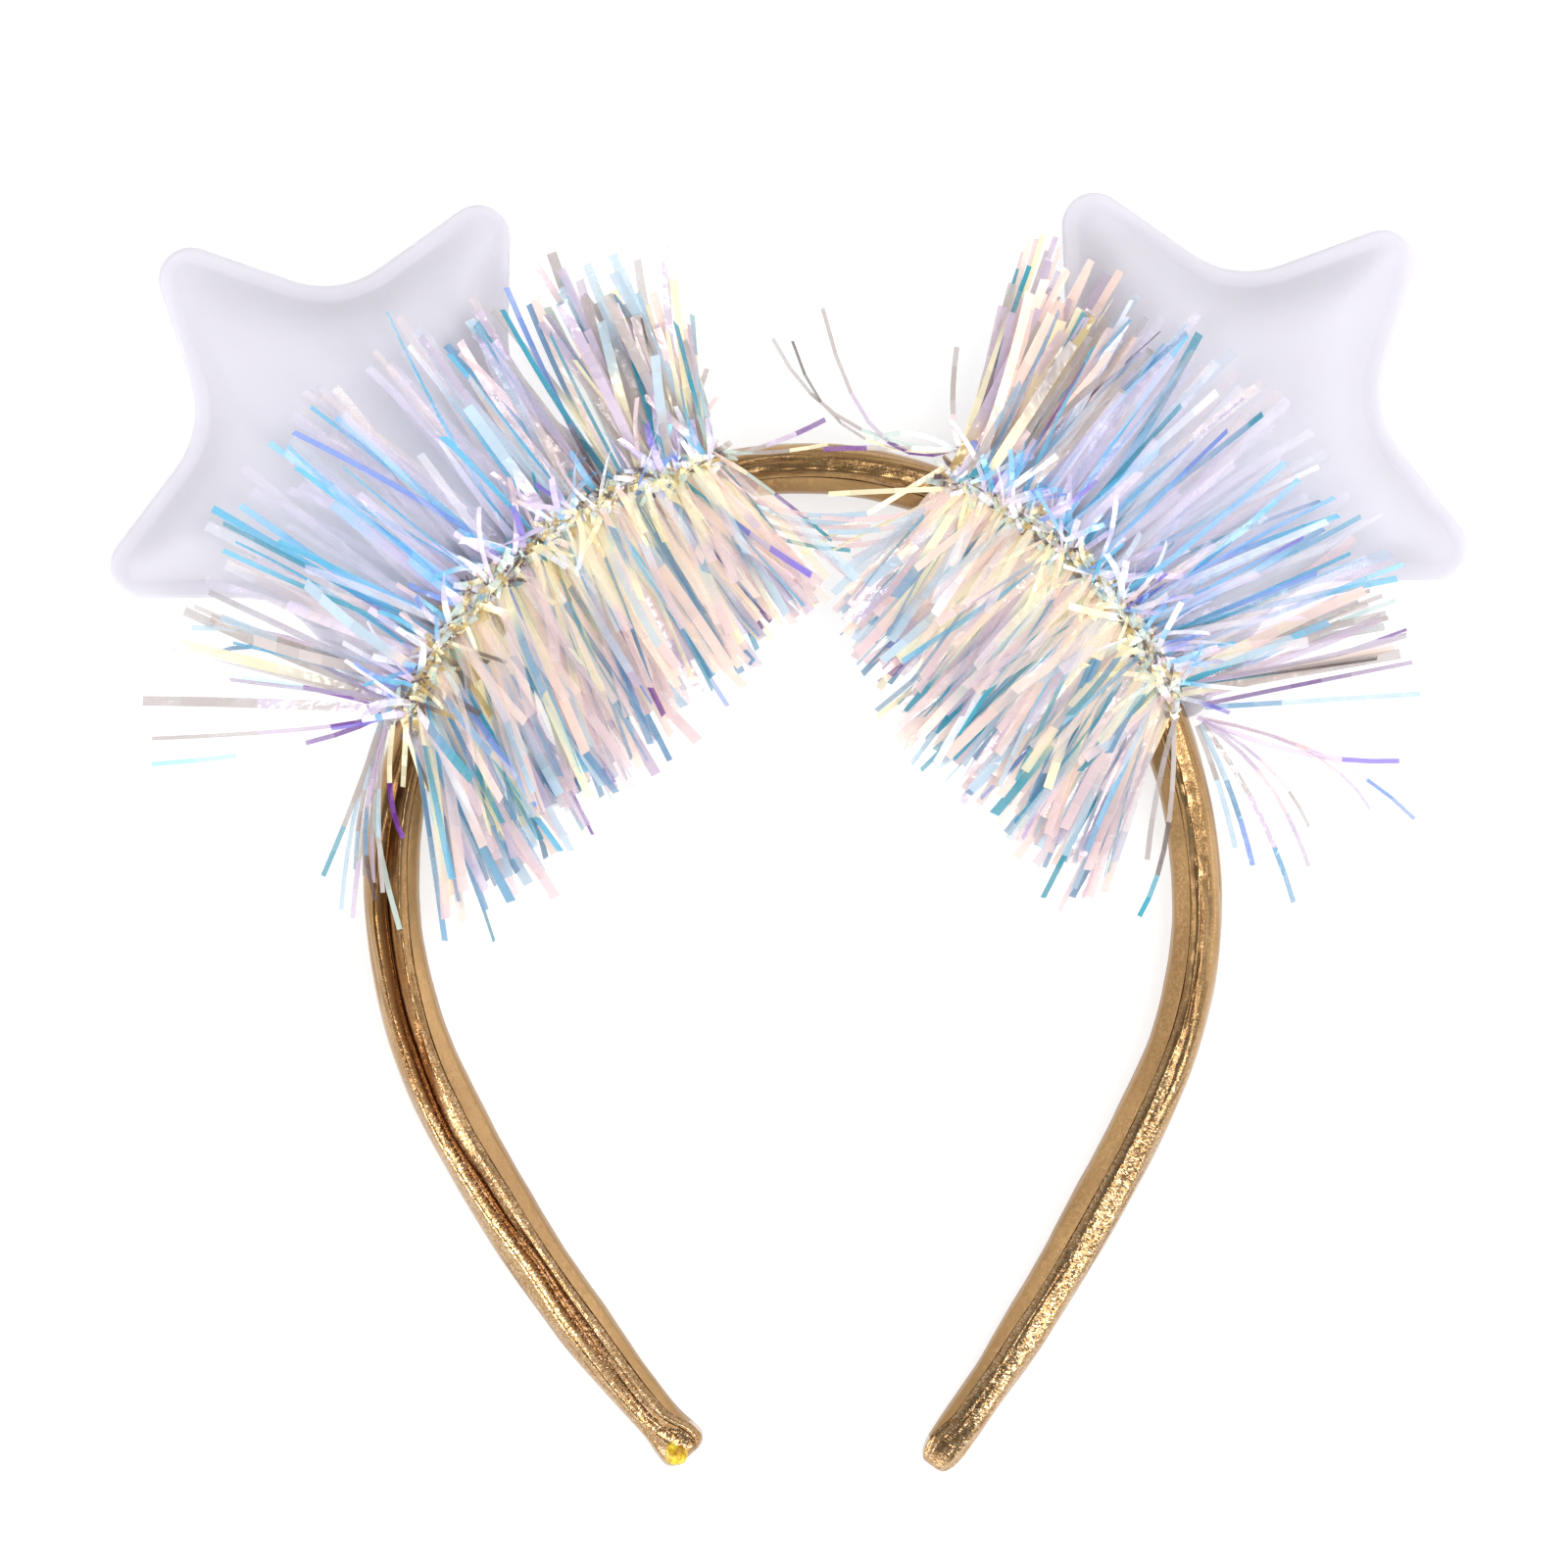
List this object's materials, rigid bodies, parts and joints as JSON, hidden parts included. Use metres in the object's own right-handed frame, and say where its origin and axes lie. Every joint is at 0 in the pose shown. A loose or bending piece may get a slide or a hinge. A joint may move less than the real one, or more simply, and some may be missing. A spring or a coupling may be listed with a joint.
{
  "type": "new year headband",
  "caption": "Padded gold cloth hair hoop with milky plastic stars at its shoulders and iridescent tinsel garlands below them, worn over the head at a party.",
  "frame": {"origin": "middle of the headband's outline on the surface that it lies on, with its back down", "axes": "+X to the wearer's left, +Y from the hoop's tips to its crown, +Z out of the front of the headband"},
  "size_m": [0.2076, 0.1956, 0.0393],
  "materials": {
    "gold_cloth": "metallic gold cloth with a fine sparkling grain",
    "lining_cloth": "flat dull gold cloth",
    "glue": "hardened yellow glue",
    "milky_plastic": "smooth frosted translucent plastic",
    "iridescent_film": "thin glossy film that shifts from blue to peach"
  },
  "bodies": {
    "root": {"band_cover": "gold_cloth", "band_lining": "lining_cloth", "glue_drop": "glue", "star_left_front": "milky_plastic", "star_left_back": "milky_plastic", "star_right_front": "milky_plastic", "star_right_back": "milky_plastic", "tinsel_left": "iridescent_film", "tinsel_right": "iridescent_film"}
  },
  "joints": []
}
